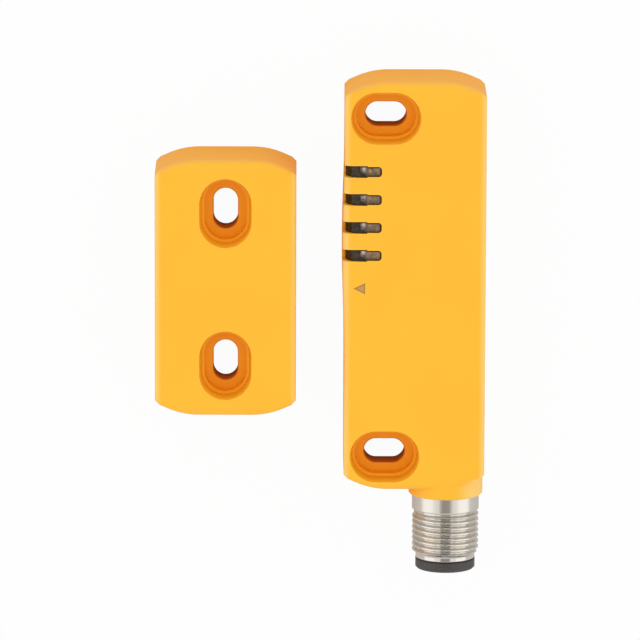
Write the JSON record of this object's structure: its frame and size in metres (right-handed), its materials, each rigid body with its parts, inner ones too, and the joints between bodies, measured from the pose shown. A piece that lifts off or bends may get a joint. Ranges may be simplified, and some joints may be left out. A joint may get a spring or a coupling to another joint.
{
  "type": "non contact safety switch",
  "caption": "Coded non-contact safety switch: flat moulded sensor with slotted fixings, status windows and round threaded connector, beside its separate actuator block.",
  "frame": {"origin": "centre of the sensor's flat mounting face, midway between its two screw slots and its sides", "axes": "+Z out of the mounting face towards the front, +Y along the sensor away from its connector, +X away from the actuator"},
  "size_m": [0.0585, 0.0884, 0.017],
  "materials": {
    "housing_plastic": "fine moulded satin, orange-yellow",
    "smoked_window": "smoked translucent, polished",
    "nickel_plate": "nickel plated, turned",
    "insert_plastic": "black moulded",
    "gold_contact": "gold plated, bright",
    "board_laminate": "lacquered laminate",
    "chip_package": "moulded epoxy",
    "capacitor_body": "moulded",
    "spool_plastic": "moulded",
    "copper_wire": "enamelled copper winding",
    "ferrite": "sintered",
    "flex_film": "polyimide film",
    "lamp_body": "clear encapsulated lamp"
  },
  "bodies": {
    "sensor": {"sensor_housing": "housing_plastic", "sensor_rear_cover": "housing_plastic", "light_guide": "smoked_window", "circuit_board": "board_laminate", "controller_chip": "chip_package", "antenna_chip": "chip_package", "output_driver_1": "chip_package", "output_driver_2": "chip_package", "voltage_regulator": "chip_package", "smoothing_capacitor": "capacitor_body", "antenna_spool": "spool_plastic", "antenna_winding": "copper_wire", "antenna_core": "ferrite", "connector_shell": "nickel_plate", "contact_carrier": "insert_plastic", "connector_board": "board_laminate", "connector_flex": "flex_film", "status_led_1": "lamp_body", "status_led_2": "lamp_body", "status_led_3": "lamp_body", "status_led_4": "lamp_body", "contact_pin_1": "gold_contact", "contact_pin_2": "gold_contact", "contact_pin_3": "gold_contact", "contact_pin_4": "gold_contact", "contact_pin_5": "gold_contact"},
    "actuator": {"actuator_housing": "housing_plastic", "actuator_rear_cover": "housing_plastic", "transponder_board": "board_laminate", "transponder_chip": "chip_package", "transponder_spool": "spool_plastic", "transponder_winding": "copper_wire", "transponder_core": "ferrite"}
  },
  "joints": [
    {"name": "actuator_travel", "type": "slide", "parent": "sensor", "child": "actuator", "axis": [-1, 0, 0], "range_m": [-0.007, 0.0218]}
  ]
}
